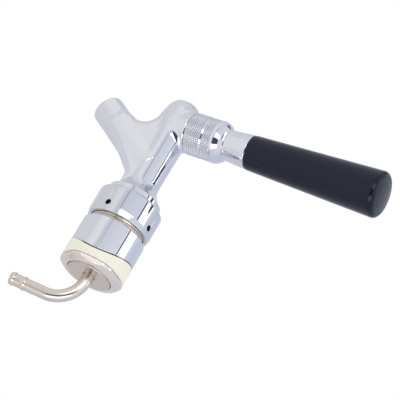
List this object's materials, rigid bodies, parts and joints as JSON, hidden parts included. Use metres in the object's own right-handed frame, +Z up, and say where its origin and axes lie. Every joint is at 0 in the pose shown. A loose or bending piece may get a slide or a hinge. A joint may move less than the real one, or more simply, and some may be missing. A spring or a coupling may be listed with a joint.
{
  "type": "beer tap",
  "caption": "Chrome beer tap with a ball lever and black handle, a slanted spout, a knurled bonnet, a coupling nut and a saddle shank with a bent hose tail.",
  "frame": {"origin": "on the shank's axis at the crown of the saddle, where the sleeve seats on the front of the column", "axes": "+X forward along the shank towards the bartender, +Z up along the handle at rest, +Y to the left"},
  "size_m": [0.1521, 0.04, 0.1889],
  "materials": {
    "chrome_plate": "polished chrome plate",
    "knurled_chrome": "knurled chrome plate",
    "coupling_chrome": "polished chrome plate",
    "sleeve_chrome": "polished chrome plate",
    "nickelled_brass": "turned and threaded, dull nickel",
    "cream_plastic": "moulded, satin",
    "stainless_nut": "satin",
    "stainless_tube": "bright drawn tube",
    "spring_steel": "satin",
    "washer_rubber": "matt",
    "stem_steel": "turned, polished ball",
    "ferrule_chrome": "polished chrome plate",
    "black_grip": "glossy",
    "insert_brass": "turned",
    "friction_plastic": "matt",
    "seat_plastic": "matt",
    "shaft_steel": "turned",
    "ring_rubber": "matt",
    "seal_rubber": "matt",
    "seal_nut_steel": "satin"
  },
  "bodies": {
    "tap": {"tap_body": "chrome_plate", "knurled_collar": "knurled_chrome", "coupling_nut": "coupling_chrome", "shank_sleeve": "sleeve_chrome", "shank": "nickelled_brass", "saddle_washer": "cream_plastic", "shank_nut": "stainless_nut", "tail_elbow": "stainless_tube", "snap_ring": "spring_steel", "coupling_washer": "washer_rubber", "friction_ring": "friction_plastic", "ball_seat": "seat_plastic"},
    "lever": {"lever_stem": "stem_steel", "handle_ferrule": "ferrule_chrome", "handle_grip": "black_grip", "grip_insert": "insert_brass"},
    "plunger": {"valve_shaft": "shaft_steel", "shaft_o_ring": "ring_rubber", "seat_seal": "seal_rubber", "seal_nut": "seal_nut_steel"}
  },
  "joints": [
    {"name": "lever_tilt", "type": "hinge", "parent": "tap", "child": "lever", "pos_m": [0.0936, 0, 0.0223], "axis": [0, 1, 0], "range_deg": [0, 20]},
    {"name": "plunger_slide", "type": "slide", "parent": "tap", "child": "plunger", "axis": [-1, 0, 0], "range_m": [0, 0.0077]}
  ],
  "couplings": [
    {"joint": "plunger_slide", "follows": "lever_tilt", "m_per_rad": 0.0218}
  ]
}
